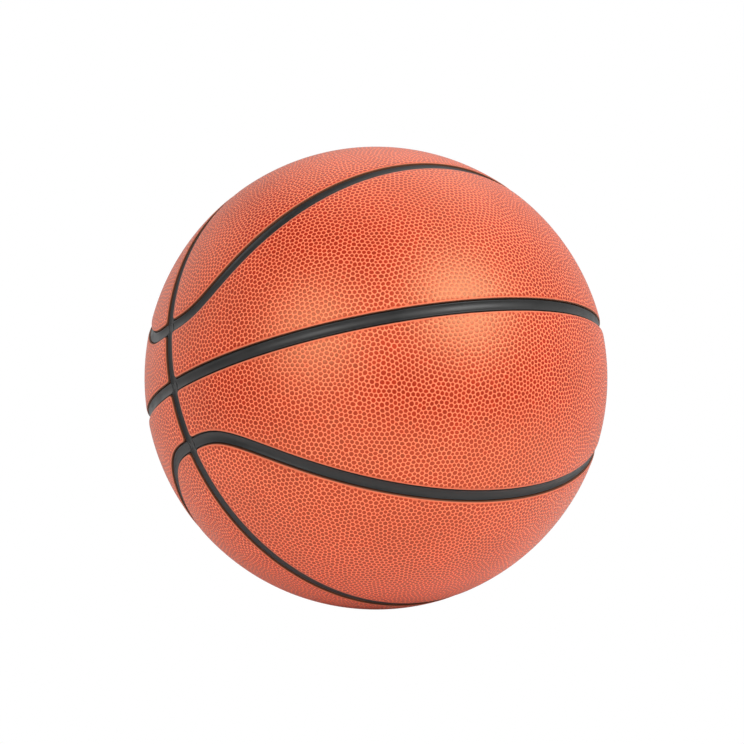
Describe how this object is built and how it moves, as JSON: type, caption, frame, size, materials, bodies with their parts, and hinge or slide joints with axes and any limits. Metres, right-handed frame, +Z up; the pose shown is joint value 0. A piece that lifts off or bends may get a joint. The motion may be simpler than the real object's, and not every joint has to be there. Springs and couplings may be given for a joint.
{
  "type": "basketball",
  "caption": "Inflatable game ball with pebbled orange cover panels parted by hollow black channels, and a push-in valve plug for an inflating needle.",
  "frame": {"origin": "centre of the ball", "axes": "+X through the two points where the straight channels cross, +Z up as the ball lies, -Y the side that the picture shows"},
  "size_m": [0.2418, 0.242, 0.242],
  "materials": {
    "cover": "pebbled, satin",
    "carcass_rubber": "smooth, satin",
    "winding_yarn": "wound yarn",
    "bladder_butyl": "matt",
    "valve_rubber": "matt",
    "plug_rubber": "satin"
  },
  "bodies": {
    "ball": {"cap_panel_back_upper": "cover", "cap_panel_front_upper": "cover", "cap_panel_back_lower": "cover", "cap_panel_front_lower": "cover", "waist_panel_back_upper": "cover", "waist_panel_front_upper": "cover", "waist_panel_back_lower": "cover", "waist_panel_front_lower": "cover", "carcass": "carcass_rubber", "winding": "winding_yarn", "bladder": "bladder_butyl", "valve_housing": "valve_rubber"},
    "plug": {"valve_plug": "plug_rubber"}
  },
  "joints": [
    {"name": "valve_plug_pull", "type": "slide", "parent": "ball", "child": "plug", "axis": [0, 0.9403, -0.3404], "range_m": [0, 0.02]}
  ]
}
